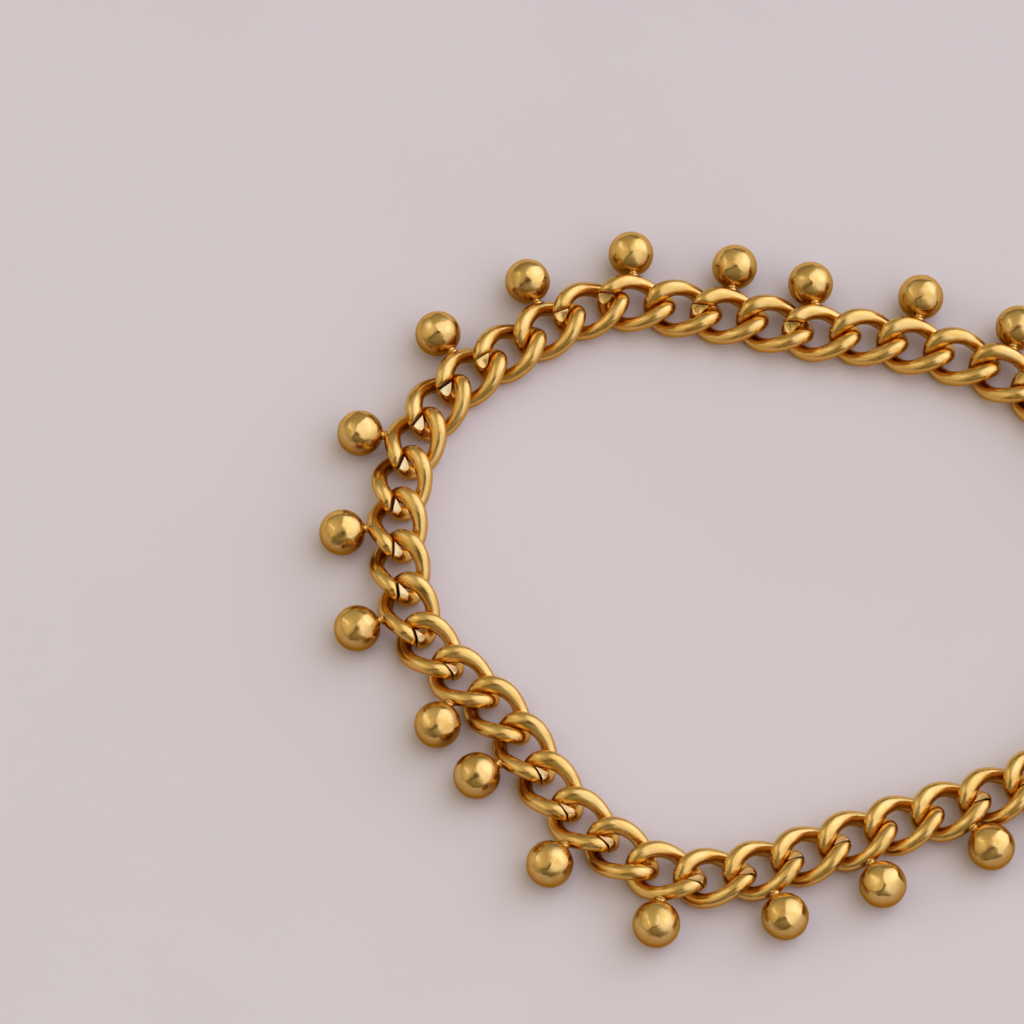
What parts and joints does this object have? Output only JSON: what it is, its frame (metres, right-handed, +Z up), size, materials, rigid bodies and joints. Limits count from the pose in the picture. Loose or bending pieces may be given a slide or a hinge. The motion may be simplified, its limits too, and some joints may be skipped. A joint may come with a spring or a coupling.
{
  "type": "chain bracelet",
  "caption": "Closed curb-chain bracelet of gold-plated brass with a small round ball soldered to the outer side of every second link, lying flat.",
  "frame": {"origin": "on the surface that the bracelet lies on, under the middle of its bounding box", "axes": "+Z up; +X along the longer way across the loop, towards the clasp; +Y across the loop, the anticlockwise quarter turn from +X seen from above"},
  "size_m": [0.0768, 0.068, 0.004],
  "materials": {
    "chain": "warm yellow gold plate over brass, satin with fine lengthwise brush lines on the wire, brighter polish on the balls",
    "clasp": "warm yellow gold plate over brass, plain satin"
  },
  "bodies": {
    "root": {"link_01": "chain", "ball_link_02": "chain", "link_03": "chain", "ball_link_04": "chain", "link_05": "chain", "ball_link_06": "chain", "link_07": "chain", "ball_link_08": "chain", "link_09": "chain", "ball_link_10": "chain", "link_11": "chain", "ball_link_12": "chain", "link_13": "chain", "ball_link_14": "chain", "link_15": "chain", "ball_link_16": "chain", "link_17": "chain", "ball_link_18": "chain", "link_19": "chain", "ball_link_20": "chain", "link_21": "chain", "ball_link_22": "chain", "link_23": "chain", "ball_link_24": "chain", "link_25": "chain", "ball_link_26": "chain", "link_27": "chain", "ball_link_28": "chain", "link_29": "chain", "ball_link_30": "chain", "link_31": "chain", "ball_link_32": "chain", "link_33": "chain", "ball_link_34": "chain", "link_35": "chain", "ball_link_36": "chain", "link_37": "chain", "ball_link_38": "chain", "link_39": "chain", "ball_link_40": "chain", "link_41": "chain", "ball_link_42": "chain", "link_43": "chain", "clasp": "clasp"}
  },
  "joints": []
}
